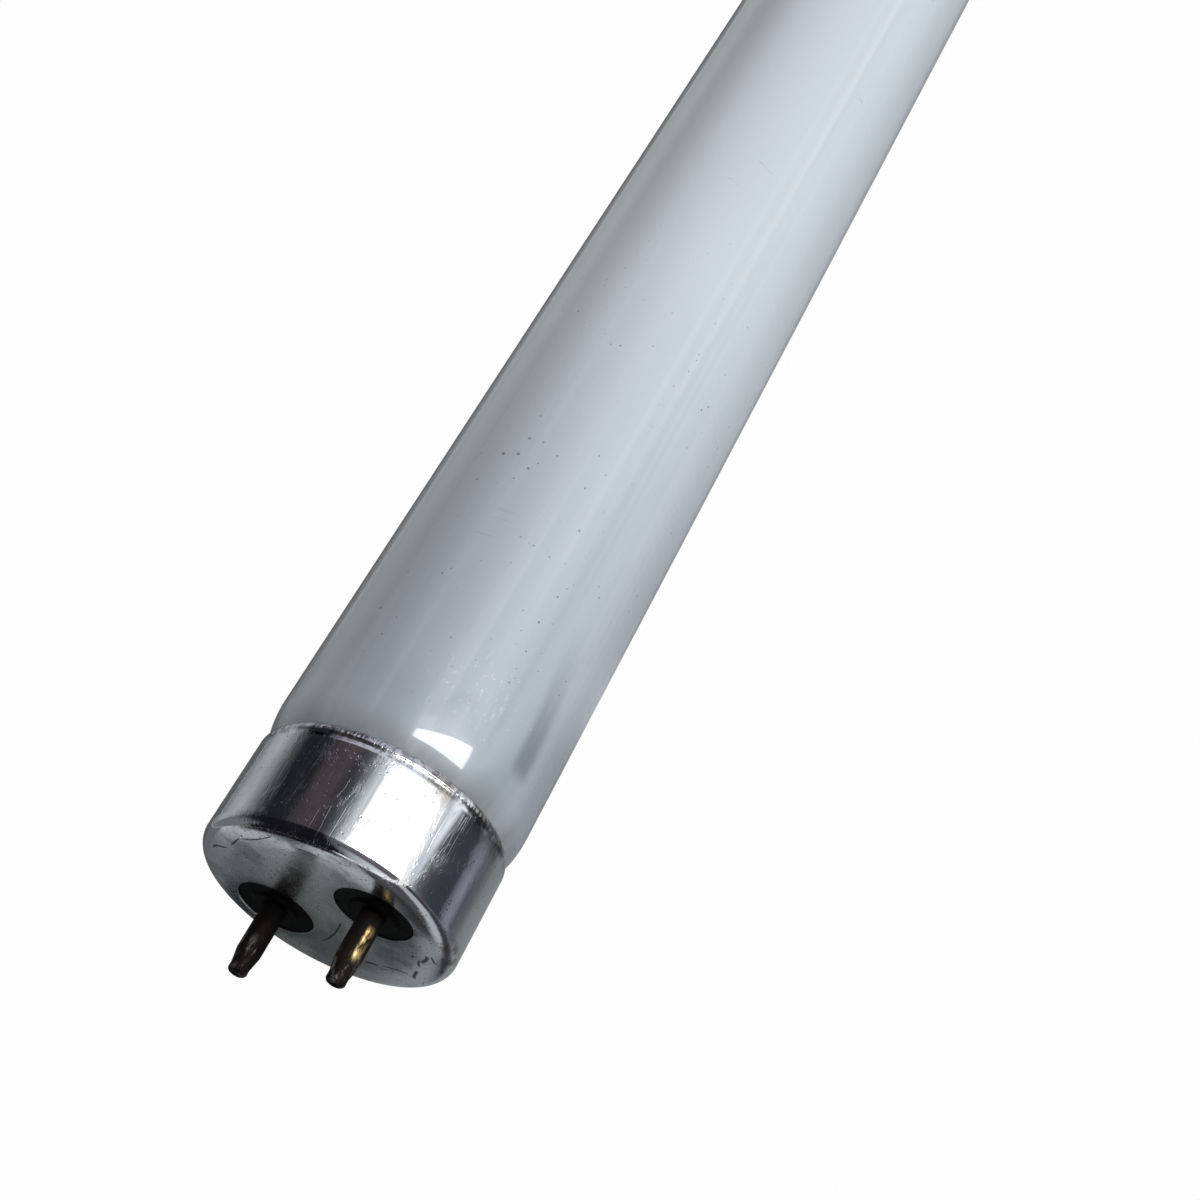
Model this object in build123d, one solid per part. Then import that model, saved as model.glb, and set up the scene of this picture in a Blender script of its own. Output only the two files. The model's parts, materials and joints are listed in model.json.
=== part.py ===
from build123d import *
import math
import os

# Straight fluorescent lamp with a two-pin cap on each end.
# Millimetres. The lamp lies along X with its middle at the origin, and the pins of each
# cap stand side by side along Y. Each end is drawn in an end frame: x is the depth behind
# the outer face of the cap, growing into the lamp, and the pins point to negative x.

# Whole lamp
length_over_caps = 589.8

# Glass
glass_radius = 13.0
neck_drop = 1.55
shoulder_length = 8.2
shoulder_under_cap = 4.1
glass_edge_bead = 0.6
glass_edge_gap = 0.4

# Glass stem that closes each end, and the sealed exhaust tube inside it
stem_radius = 4.1
stem_depth = 19.0
stem_floor_bend_radius = 0.5
flare_bend_radius = 10.5
exhaust_radius = 1.9
exhaust_tip_radius = 0.7
exhaust_tip_gap = 3.6
exhaust_cone_angle = 30.0

# Capping cement between the neck of the glass and the shell
cement_thickness = 1.0
cement_edge_gap = 0.8
cement_rim_gap = 0.3

# Cap shell, drawn from sheet
shell_wall = 0.3
shell_height = 11.5
shell_corner_radius = 1.2
rim_curl_radius = 1.2
rim_curl_angle = 45.0
hole_margin = 1.35
hole_edge_radius = 0.12

# Insulating plate behind the face of the shell, moulded with a boss and a collar for each pin
plate_thickness = 1.6
plate_clearance = 0.15
plate_edge_radius = 0.3
boss_clearance = 0.1
boss_recess = 0.12
collar_radius = 2.5
collar_height = 0.15
collar_slope = 0.3

# Pins, drawn from tube
pin_spacing = 12.7
pin_radius = 1.175
pin_projection = 7.1
pin_taper_length = 1.3
pin_tip_length = 0.95
pin_tip_radius = 0.94
pin_waist = 0.06
pin_end_rounding = 0.4
pin_bore_radius = 0.6
spigot_radius = 1.0
rivet_radius = 1.8
rivet_height = 0.5
rivet_edge_radius = 0.3

# Lead wires, from the seal in the stem to the crimped tip of each pin
wire_radius = 0.3
wire_seal_length = 2.0
wire_end_recess = 0.15
wire_bend_radius = 1.5
wire_straight_length = 2.8
wire_spread_length = 4.8

# Sizes that follow from those above, as depths behind the face or as radii
neck_radius = glass_radius - neck_drop
shell_inner_radius = neck_radius + cement_thickness
shell_radius = shell_inner_radius + shell_wall
face_radius = shell_radius - shell_corner_radius
hole_radius = face_radius - hole_margin - pin_spacing / 2
boss_radius = hole_radius - boss_clearance
plate_radius = face_radius - plate_clearance
plate_front = shell_wall
plate_back = plate_front + plate_thickness
rivet_back = plate_back + rivet_height
boss_front = boss_recess
collar_front = -collar_height
glass_edge_depth = rivet_back + glass_edge_gap
exhaust_tip_depth = rivet_back + exhaust_tip_gap
cement_start = glass_edge_depth + cement_edge_gap
shoulder_start = shell_height - shoulder_under_cap
rim_curl_start = shell_height - rim_curl_radius * math.sin(math.radians(rim_curl_angle))
pin_end = -pin_projection
pin_tip_start = pin_end + pin_tip_length
pin_taper_start = pin_tip_start + pin_taper_length
wire_stem_offset = (exhaust_radius + stem_radius) / 2
wire_spread_end = rivet_back + wire_straight_length
wire_spread_start = wire_spread_end + wire_spread_length
ends = {"a": -1, "b": 1}
sides = {"1": 1, "2": -1}


def follow(edge, radius, turn):
    """An arc that leaves the end of an edge in line with it and turns left by turn degrees."""
    return JernArc(start=edge @ 1, tangent=edge % 1, radius=radius, arc_size=turn)


def turned(outline):
    """The solid that a closed outline sweeps as it turns once about the X axis, its seam underneath."""
    return Rot(-90, 0, 0) * revolve(make_face(outline), Axis.X, 360)


def disc(radius, start, end):
    """A plain disc or rod about the X axis, from one x to the other."""
    rod = Cylinder(radius, end - start, align=(Align.CENTER, Align.CENTER, Align.MIN))
    return Pos(start, 0, 0) * Rot(0, 90, 0) * rod


def placed(shape, end):
    """A shape drawn in the end frame, moved to end a at negative X or to end b at positive X."""
    turn = 0 if ends[end] < 0 else 180
    return Pos(ends[end] * length_over_caps / 2, 0, 0) * Rot(0, 0, turn) * shape


def glass_end_outline():
    """Half section of one end of the glass: exhaust tip, stem, flare, neck and shoulder."""
    flare_cosine = (flare_bend_radius + glass_edge_bead + stem_radius - neck_radius) / (
        flare_bend_radius - glass_edge_bead
    )
    flare_turn = math.degrees(math.acos(flare_cosine))
    flare_length = flare_bend_radius * math.sin(math.radians(flare_turn))
    bead_back = glass_edge_depth + glass_edge_bead * (1 - math.sin(math.radians(flare_turn)))
    shoulder_bend_radius = (shoulder_length**2 + neck_drop**2) / (4 * neck_drop)
    shoulder_turn = math.degrees(math.asin(shoulder_length / 2 / shoulder_bend_radius))

    exhaust_tip = JernArc(
        start=(exhaust_tip_depth, 0),
        tangent=(0, 1),
        radius=exhaust_tip_radius,
        arc_size=exhaust_cone_angle - 90,
    )
    cone_length = (exhaust_radius - (exhaust_tip @ 1).Y) / math.tan(math.radians(exhaust_cone_angle))
    exhaust_cone = Line(exhaust_tip @ 1, ((exhaust_tip @ 1).X + cone_length, exhaust_radius))
    floor_edge = stem_depth - stem_floor_bend_radius
    exhaust_side = Line(exhaust_cone @ 1, (floor_edge, exhaust_radius))
    floor_inner_bend = follow(exhaust_side, stem_floor_bend_radius, 90)
    floor = Line(floor_inner_bend @ 1, (stem_depth, stem_radius - stem_floor_bend_radius))
    floor_outer_bend = follow(floor, stem_floor_bend_radius, 90)
    stem_side = Line(floor_outer_bend @ 1, (bead_back + flare_length, stem_radius))
    flare = follow(stem_side, flare_bend_radius, -flare_turn)
    bead = follow(flare, glass_edge_bead, flare_turn - 180)
    neck = Line(bead @ 1, (shoulder_start, neck_radius))
    shoulder_foot = follow(neck, shoulder_bend_radius, shoulder_turn)
    shoulder_top = follow(shoulder_foot, shoulder_bend_radius, -shoulder_turn)
    return [
        exhaust_tip,
        exhaust_cone,
        exhaust_side,
        floor_inner_bend,
        floor,
        floor_outer_bend,
        stem_side,
        flare,
        bead,
        neck,
        shoulder_foot,
        shoulder_top,
    ]


def glass_tube(wires):
    """The sealed glass in one piece, with the lead wires sunk into the floor of each stem."""
    near = [Pos(-length_over_caps / 2, 0, 0) * edge for edge in glass_end_outline()]
    far = [mirror(edge, about=Plane.YZ) for edge in near]
    shoulder_end = length_over_caps / 2 - shoulder_start - shoulder_length
    tip_end = length_over_caps / 2 - exhaust_tip_depth
    barrel = Line((-shoulder_end, glass_radius), (shoulder_end, glass_radius))
    core = Line((-tip_end, 0), (tip_end, 0))
    return turned(near + [barrel] + far + [core]) - wires


def cap_shell():
    """The drawn cap: a flat face with two pin holes, a round corner and a rim curled inwards."""
    outer_face = Line((0, 0), (0, face_radius))
    outer_corner = follow(outer_face, shell_corner_radius, -90)
    outer_side = Line(outer_corner @ 1, (rim_curl_start, shell_radius))
    outer_curl = follow(outer_side, rim_curl_radius, -rim_curl_angle)
    inner_face = Line((shell_wall, 0), (shell_wall, face_radius))
    inner_corner = follow(inner_face, shell_corner_radius - shell_wall, -90)
    inner_side = Line(inner_corner @ 1, (rim_curl_start, shell_inner_radius))
    inner_curl = follow(inner_side, rim_curl_radius - shell_wall, -rim_curl_angle)
    shell = turned(
        [
            outer_face,
            outer_corner,
            outer_side,
            outer_curl,
            Line(outer_curl @ 1, inner_curl @ 1),
            inner_curl,
            inner_side,
            inner_corner,
            inner_face,
            Line((0, 0), (shell_wall, 0)),
        ]
    )
    for side in sides.values():
        shell -= Pos(0, side * pin_spacing / 2, 0) * disc(hole_radius, -shell_wall, 2 * shell_wall)
    outer_edges = [
        edge
        for edge in shell.edges().filter_by(GeomType.CIRCLE)
        if math.isclose(edge.radius, hole_radius) and edge.center().X < shell_wall / 2
    ]
    return fillet(outer_edges, hole_edge_radius)


def insulator():
    """The moulded plate, its bosses in the holes of the shell, and a sloping collar round each pin."""
    plate = disc(plate_radius, plate_front, plate_back)
    plate = fillet(plate.edges().filter_by(GeomType.CIRCLE), plate_edge_radius)
    collar = turned(
        [
            Line((plate_front, 0), (collar_front, 0)),
            Line((collar_front, 0), (collar_front, collar_radius - collar_slope)),
            Line((collar_front, collar_radius - collar_slope), (boss_front, collar_radius)),
            Line((boss_front, collar_radius), (plate_front, collar_radius)),
            Line((plate_front, collar_radius), (plate_front, 0)),
        ]
    )
    for side in sides.values():
        seat = Pos(0, side * pin_spacing / 2, 0)
        plate += seat * disc(boss_radius, boss_front, plate_front)
        plate += seat * collar
        plate -= seat * disc(spigot_radius, collar_front, plate_back)
    return plate


def pin():
    """A hollow pin on its own axis: shank, crimped tip, spigot and the head riveted behind the plate."""
    rivet_side = Line((plate_back, rivet_radius), (rivet_back - rivet_edge_radius, rivet_radius))
    rivet_edge = follow(rivet_side, rivet_edge_radius, -90)
    end_rounding = JernArc(
        start=(pin_end + pin_end_rounding, pin_tip_radius),
        tangent=(-1, 0),
        radius=pin_end_rounding,
        arc_size=90,
    )
    tip_side_start = (pin_tip_start, pin_tip_radius)
    tip_side_end = end_rounding @ 0
    tip_side_middle = ((tip_side_start[0] + tip_side_end.X) / 2, pin_tip_radius - pin_waist)
    return turned(
        [
            Line((rivet_back, pin_bore_radius), rivet_edge @ 1),
            rivet_edge,
            rivet_side,
            Line((plate_back, rivet_radius), (plate_back, spigot_radius)),
            Line((plate_back, spigot_radius), (collar_front, spigot_radius)),
            Line((collar_front, spigot_radius), (collar_front, pin_radius)),
            Line((collar_front, pin_radius), (pin_taper_start, pin_radius)),
            Line((pin_taper_start, pin_radius), tip_side_start),
            ThreePointArc(tip_side_start, tip_side_middle, tip_side_end),
            end_rounding,
            Line(end_rounding @ 1, (pin_end, wire_radius)),
            Line((pin_end, wire_radius), (pin_tip_start, wire_radius)),
            Line((pin_tip_start, wire_radius), (pin_taper_start, pin_bore_radius)),
            Line((pin_taper_start, pin_bore_radius), (rivet_back, pin_bore_radius)),
        ]
    )


def lead_wire(side):
    """A wire sealed in the floor of the stem, led out to one pin and through it to the crimp."""
    pin_offset = side * pin_spacing / 2
    stem_offset = side * wire_stem_offset
    route = FilletPolyline(
        (stem_depth + wire_seal_length, stem_offset),
        (wire_spread_start, stem_offset),
        (wire_spread_end, pin_offset),
        (pin_end + wire_end_recess, pin_offset),
        radius=wire_bend_radius,
    )
    section = Plane(origin=route @ 0, z_dir=route % 0) * Circle(wire_radius)
    wire = sweep(section, path=route)
    expected = math.pi * wire_radius**2 * route.length
    print(f"lead wire length {route.length:.2f}, volume over section times length {wire.volume / expected:.4f}")
    return wire


def cement(glass):
    """The ring of cement that fills the gap between the neck of the glass and the shell at end a."""
    rim = rim_curl_start - cement_rim_gap
    ring = disc(shell_inner_radius, cement_start, rim) - disc(neck_radius - shell_wall, cement_start, rim)
    return placed(ring, "a") - glass


def main():
    lead_wires = {side: lead_wire(sign) for side, sign in sides.items()}
    pins = {side: Pos(0, sign * pin_spacing / 2, 0) * pin() for side, sign in sides.items()}
    shell = cap_shell()
    plate = insulator()
    nodes = {}
    for end in ends:
        nodes[f"cap_shell_{end}"] = placed(shell, end)
        nodes[f"insulator_{end}"] = placed(plate, end)
        for side in sides:
            nodes[f"pin_{end}{side}"] = placed(pins[side], end)
            nodes[f"lead_wire_{end}{side}"] = placed(lead_wires[side], end)
    nodes["glass_tube"] = glass_tube([shape for name, shape in nodes.items() if "wire" in name])
    nodes["cement_a"] = cement(nodes["glass_tube"])
    nodes["cement_b"] = Rot(0, 0, 180) * nodes["cement_a"]

    os.makedirs("parts", exist_ok=True)
    for name, shape in nodes.items():
        export_step(shape, f"parts/{name}.step")


main()
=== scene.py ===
"""A straight fluorescent lamp with a two-pin cap on each end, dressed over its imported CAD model.

The lamp lies along X. Each end is drawn in an end frame: x is the depth behind the outer face of
the cap, growing into the lamp, and the contact pins point to negative x. Lengths are in metres.
"""

import json
import math

import bmesh
import bpy
from bpy.props import FloatProperty, FloatVectorProperty, PointerProperty
from bpy.types import Operator, Panel, PropertyGroup
from mathutils import Matrix, Vector

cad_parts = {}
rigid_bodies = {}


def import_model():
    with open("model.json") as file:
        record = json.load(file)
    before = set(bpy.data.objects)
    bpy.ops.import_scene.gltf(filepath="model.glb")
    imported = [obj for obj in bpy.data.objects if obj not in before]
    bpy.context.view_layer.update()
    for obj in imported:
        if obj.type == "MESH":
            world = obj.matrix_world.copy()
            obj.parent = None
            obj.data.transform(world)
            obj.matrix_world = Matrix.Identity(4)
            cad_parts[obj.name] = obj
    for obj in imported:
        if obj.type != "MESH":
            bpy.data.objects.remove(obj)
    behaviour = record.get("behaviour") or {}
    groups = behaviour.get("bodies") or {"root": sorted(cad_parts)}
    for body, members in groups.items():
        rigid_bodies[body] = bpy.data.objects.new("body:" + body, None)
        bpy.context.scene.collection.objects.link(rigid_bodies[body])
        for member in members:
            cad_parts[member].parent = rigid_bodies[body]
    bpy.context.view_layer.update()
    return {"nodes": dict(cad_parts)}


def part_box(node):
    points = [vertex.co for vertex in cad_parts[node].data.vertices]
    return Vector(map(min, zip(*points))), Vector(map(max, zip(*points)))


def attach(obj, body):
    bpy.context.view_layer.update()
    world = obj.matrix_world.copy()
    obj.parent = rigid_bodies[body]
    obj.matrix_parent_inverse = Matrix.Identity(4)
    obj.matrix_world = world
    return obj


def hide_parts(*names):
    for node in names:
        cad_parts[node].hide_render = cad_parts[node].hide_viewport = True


bl_info = {
    "name": "Fluorescent tube",
    "version": (1, 0, 0),
    "blender": (4, 5, 0),
    "location": "View3D > Sidebar > Fluorescent tube",
    "description": "Builds a straight fluorescent lamp with a two-pin cap on each end",
    "category": "Add Mesh",
}

for leftover in list(bpy.data.objects):
    bpy.data.objects.remove(leftover)
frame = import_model()
ENDS = {"a": -1, "b": 1}
SIDES = {"1": 1, "2": -1}
MM = 0.001
SHARP_EDGE = math.radians(50)
WHITE = (1, 1, 1)


# Sizes and colours that a user may change


def length(name, default, description):
    return FloatProperty(name=name, default=default, description=description, unit="LENGTH", precision=5)


def angle(name, degrees, description):
    return FloatProperty(name=name, default=math.radians(degrees), description=description, unit="ROTATION")


def colour(name, default, description):
    return FloatVectorProperty(
        name=name, default=default, description=description, subtype="COLOR", size=3, min=0, max=1
    )


class GlassSizes(PropertyGroup):
    length_over_caps: length(
        "Length over caps", -2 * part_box("cap_shell_a")[0][0], "From the face of one cap to the other"
    )
    radius: length("Glass radius", 0.013, "Outer radius of the straight part")
    neck_radius: length("Neck radius", 0.01145, "Outer radius of the neck inside the cap")
    shoulder_start: length("Shoulder start", 0.0074, "Depth at which the neck starts to widen")
    shoulder_length: length("Shoulder length", 0.0082, "Length over which it widens to the full radius")
    edge_depth: length("Edge depth", 0.0028, "Depth of the rounded edge inside the cap")
    edge_bead: length("Edge bead", 0.0006, "Radius of that rounded edge")
    flare_bend: length("Flare bend", 0.0105, "Radius at which the edge turns back into the stem")
    stem_radius: length("Stem radius", 0.0041, "Radius of the hollow stem")
    stem_depth: length("Stem depth", 0.019, "Depth of the stem's closed floor")
    exhaust_radius: length("Exhaust radius", 0.0019, "Radius of the sealed exhaust tube")
    exhaust_tip: length("Exhaust tip", 0.006, "Depth of the sealed tip")
    exhaust_cone: length("Exhaust cone", 0.0026, "Length over which the sealed tip widens")
    exhaust_seal: length("Exhaust seal", 0.0007, "Radius of the rounding of the sealed tip")


class CapSizes(PropertyGroup):
    radius: length("Cap radius", 0.01275, "Outer radius of the shell")
    height: length("Cap height", 0.0115, "Depth from its face to its rim")
    wall: length("Cap wall", 0.0003, "Thickness of the sheet")
    corner: length("Corner radius", 0.0012, "Radius between face and side")
    curl_radius: length("Curl radius", 0.0012, "Radius of the rim's inward curl")
    curl_angle: angle("Curl angle", 45, "How far the rim turns inwards")
    bevel_width: length("Bevel width", 0.00085, "Width of the sloping ring round the flat of the face")
    bevel_drop: length("Bevel drop", 0.00009, "How far that ring falls away")
    groove_width: length("Groove width", 0.0005, "Width of the shallow groove below the rim")
    groove_depth: length("Groove depth", 0.00007, "Depth of that groove")
    hole_radius: length("Hole radius", 0.00385, "Radius of the two holes in the face")
    hole_edge: length("Hole edge radius", 0.00012, "Rounding of the edge of each hole")


class PinSizes(PropertyGroup):
    spacing: length("Pin spacing", 0.0127, "Distance between the two pins of a cap")
    radius: length("Pin radius", 0.001175, "Radius of the shank")
    projection: length("Pin projection", 0.0071, "How far the pins stand out of the face")
    taper: length("Taper length", 0.0013, "Length of the cone behind the tip")
    tip_length: length("Tip length", 0.00095, "Length of the crimped tip")
    tip_radius: length("Tip radius", 0.00094, "Radius of the crimped tip")
    waist: length("Tip waist", 0.00002, "How far the crimp draws the tip in")
    rounding: length("End rounding", 0.0004, "Rounding of the end")
    bore: length("Bore radius", 0.0006, "Radius of the bore behind the crimp")
    wire_bore: length("Wire hole radius", 0.0003, "Radius of the hole that holds the lead wire")
    spigot: length("Spigot radius", 0.001, "Radius where the pin passes through the plate")
    shoulder_seat: length("Seat", 0.00015, "How far the collar that the pin stands on rises from the face")
    plate_back: length("Plate back", 0.0019, "Depth of the back of the insulating plate")
    rivet_radius: length("Rivet radius", 0.0018, "Radius of the head behind the plate")
    rivet_height: length("Rivet height", 0.0005, "Thickness of that head")
    crimp: FloatProperty(name="Crimp", default=0.04, description="Share by which four jaws press the tip")


class LampColours(PropertyGroup):
    glass: colour("Coated glass", (0.62, 0.67, 0.71), "The white powder seen through the glass")
    glass_end: colour("Glass towards the caps", (0.378, 0.417, 0.46), "The thinner powder at both ends")
    glass_rim: colour("Glass at the caps", (0.24, 0.265, 0.26), "The bare, greenish glass beside the rims")
    glass_streak: colour("Pale streaks", (0.70, 0.73, 0.80), "Streaks where the powder ran")
    glass_edge: colour("Glass edge", (0.10, 0.13, 0.13), "The bare thickness of the wall, seen edge on")
    soot: colour("Soot", (0.05, 0.06, 0.07), "Specks and the dark patches near the cathodes")
    dust: colour("Dust", (0.9, 0.9, 0.9), "Pale dust and scuffs on the glass")
    aluminium: colour("Aluminium", (0.80, 0.81, 0.83), "Polished side of the caps")
    aluminium_face: colour("Aluminium face", (0.55, 0.56, 0.56), "Matt, scratched face of the caps")
    stain: colour("Stain", (0.24, 0.17, 0.12), "Brown stains near the rim")
    resin: colour("Resin", (0.0035, 0.0032, 0.003), "Insulating plate")
    brass: colour("Brass", (0.50, 0.37, 0.15), "Where the pins are rubbed bright")
    tarnish: colour("Tarnish", (0.010, 0.0075, 0.006), "The rest of the pins")
    solder: colour("Solder", (0.55, 0.53, 0.50), "Worn tin on the crimped tips")
    wire: colour("Lead wire", (0.55, 0.52, 0.48), "Lead wires")
    cement: colour("Cement", (0.55, 0.47, 0.36), "Capping cement")


class StageSettings(PropertyGroup):
    window_power: FloatProperty(name="Window power", default=9.0, description="Power of the window light")
    window_turn: angle("Window turn", 156, "Where the window stands, round the lamp from +Y over the top")
    window_length: length("Window length", 0.53, "Size of the window along the lamp")
    window_height: length("Window height", 1.04, "Size of the window across the lamp")
    window_shift: length("Window shift", 0.006, "How far the window stands towards end b")
    window_drop: length("Window drop", 0.03, "How far the window is lowered")
    fill_power: FloatProperty(name="Fill power", default=2.8, description="Power of the low light behind")
    fill_turn: angle("Fill turn", 8, "Where the fill light stands, round the lamp from +Y over the top")
    fill_length: length("Fill length", 1.2, "Size of the fill light along the lamp")
    fill_height: length("Fill height", 0.2, "Size of the fill light across the lamp")
    ambient: FloatProperty(name="Ambient", default=0.25, description="Level of the light from all round")
    daylight: colour("Daylight", (0.96, 0.98, 1.0), "Colour of both lights")
    floor: colour("Floor", (0.85, 0.85, 0.85), "Plain pale floor")
    camera_azimuth: angle("Camera azimuth", -41.70, "Where the camera stands, round the cap of end a")
    camera_elevation: angle("Camera elevation", 32.768, "How high the camera stands")
    camera_roll: angle("Camera roll", -35.476, "How far the camera is turned about its view")
    camera_lens: FloatProperty(name="Camera lens", default=55.5, description="Focal length, 36 mm frame")
    camera_place: FloatVectorProperty(
        name="Camera place",
        default=(-0.06193, -0.12374, 0.09581),
        description="Camera position from the middle of the face of cap a",
        unit="LENGTH",
        precision=5,
    )


def half_length():
    """From the middle of the lamp to the face of a cap."""
    return bpy.context.scene.glass_sizes.length_over_caps / 2


def half_spacing():
    """From the middle of a cap to the middle of a pin."""
    return bpy.context.scene.pin_sizes.spacing / 2


# Mesh helpers


class Outline:
    """A pen that draws a half section as points (x, radius), with lines and round bends."""

    def __init__(self, x, radius, heading):
        self.points = [(x, radius)]
        self.heading = math.radians(heading)

    def line_to(self, x, radius):
        last_x, last_radius = self.points[-1]
        self.heading = math.atan2(radius - last_radius, x - last_x)
        self.points.append((x, radius))

    def bend(self, radius, turn, steps):
        """An arc that leaves the last point in line with it, to the left for a positive turn."""
        side = math.copysign(1, turn)
        x, height = self.points[-1]
        centre_x = x - side * radius * math.sin(self.heading)
        centre_height = height + side * radius * math.cos(self.heading)
        for step in range(1, steps + 1):
            heading = self.heading + math.radians(turn) * step / steps
            self.points.append(
                (
                    centre_x + side * radius * math.sin(heading),
                    centre_height - side * radius * math.cos(heading),
                )
            )
        self.heading += math.radians(turn)


def ring_of(mesh, x, radius, sides, centre_y=0.0, shape=None):
    """One ring of vertices about the X axis, or a single one where the radius is nothing."""
    if radius < 1e-7:
        return [mesh.verts.new((x, centre_y, 0))]
    ring = []
    for step in range(sides):
        turn = 2 * math.pi * step / sides
        reach = radius * (shape(x, turn) if shape else 1)
        ring.append(mesh.verts.new((x, centre_y + reach * math.cos(turn), reach * math.sin(turn))))
    return ring


def bridge(mesh, ring, following):
    """The faces between two rings that follow each other."""
    count = max(len(ring), len(following))
    for step in range(count):
        after = (step + 1) % count
        corners = [
            ring[step % len(ring)],
            ring[after % len(ring)],
            following[after % len(following)],
            following[step % len(following)],
        ]
        mesh.faces.new(dict.fromkeys(corners))


def revolve(mesh, points, sides, closed=False, centre_y=0.0, shape=None):
    """Turns a half section about the X axis, or about a line beside it, and returns its end rings."""
    rings = [ring_of(mesh, x, radius, sides, centre_y, shape) for x, radius in points]
    for ring, following in zip(rings, rings[1:]):
        bridge(mesh, ring, following)
    if closed:
        bridge(mesh, rings[-1], rings[0])
    return rings[0], rings[-1]


def loop_edges(mesh, ring):
    """The edges round a ring of vertices."""
    edges = []
    for corner, following in zip(ring, ring[1:] + ring[:1]):
        edges.append(mesh.edges.get((corner, following)) or mesh.edges.new((corner, following)))
    return edges


def place_end(mesh, end):
    """Moves a mesh drawn in the end frame to its end of the lamp."""
    if ENDS[end] > 0:
        bmesh.ops.rotate(mesh, verts=mesh.verts, cent=(0, 0, 0), matrix=Matrix.Rotation(math.pi, 3, "Z"))
    bmesh.ops.translate(mesh, verts=mesh.verts, vec=(ENDS[end] * half_length(), 0, 0))


def piece_from(mesh, name, material, node):
    """A finished piece of the lamp that stands for a CAD node."""
    bmesh.ops.recalc_face_normals(mesh, faces=mesh.faces)
    for face in mesh.faces:
        face.smooth = True
    piece = plain_object(mesh, name, material)
    piece.data.set_sharp_from_angle(angle=SHARP_EDGE)
    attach(piece, "root")
    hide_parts(node)
    return piece


def plain_object(mesh, name, material):
    """An object made from a mesh in the making."""
    data = bpy.data.meshes.new(name)
    mesh.to_mesh(data)
    mesh.free()
    data.materials.append(material)
    made = bpy.data.objects.new(name, data)
    bpy.context.scene.collection.objects.link(made)
    return made


def flat_sheet(name, material, low, high):
    """A level rectangle between two opposite corners."""
    mesh = bmesh.new()
    corners = [low, (high[0], low[1]), high, (low[0], high[1])]
    mesh.faces.new([mesh.verts.new((x, y, 0)) for x, y in corners])
    return plain_object(mesh, name, material)


# Shader helpers


class Value:
    """A socket of a shader. Arithmetic on one that carries a number adds Math nodes."""

    def __init__(self, shader, socket):
        self.shader = shader
        self.socket = socket

    def math(self, operation, first, second):
        return self.shader.add("ShaderNodeMath", {"operation": operation}, {0: first, 1: second})["Value"]

    def __add__(self, other):
        return self.math("ADD", self, other)

    def __radd__(self, other):
        return self.math("ADD", other, self)

    def __sub__(self, other):
        return self.math("SUBTRACT", self, other)

    def __rsub__(self, other):
        return self.math("SUBTRACT", other, self)

    def __mul__(self, other):
        return self.math("MULTIPLY", self, other)

    def __rmul__(self, other):
        return self.math("MULTIPLY", other, self)

    def __truediv__(self, other):
        return self.math("DIVIDE", self, other)

    def __pow__(self, other):
        return self.math("POWER", self, other)

    def __abs__(self):
        return self.math("ABSOLUTE", self, 0.0)

    def largest(self, other):
        return self.math("MAXIMUM", self, other)

    def smallest(self, other):
        return self.math("MINIMUM", self, other)

    def fade(self, start, end):
        """Nothing up to start and 1 from end on, with a smooth change between them."""
        return self.shader.add(
            "ShaderNodeMapRange",
            {"interpolation_type": "SMOOTHSTEP"},
            {"Value": self, "From Min": start, "From Max": end},
        )["Result"]


class Added:
    """A node that was added, whose outputs are taken by name or number."""

    def __init__(self, shader, node):
        self.shader = shader
        self.node = node

    def __getitem__(self, output):
        return Value(self.shader, self.node.outputs[output])


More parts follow.
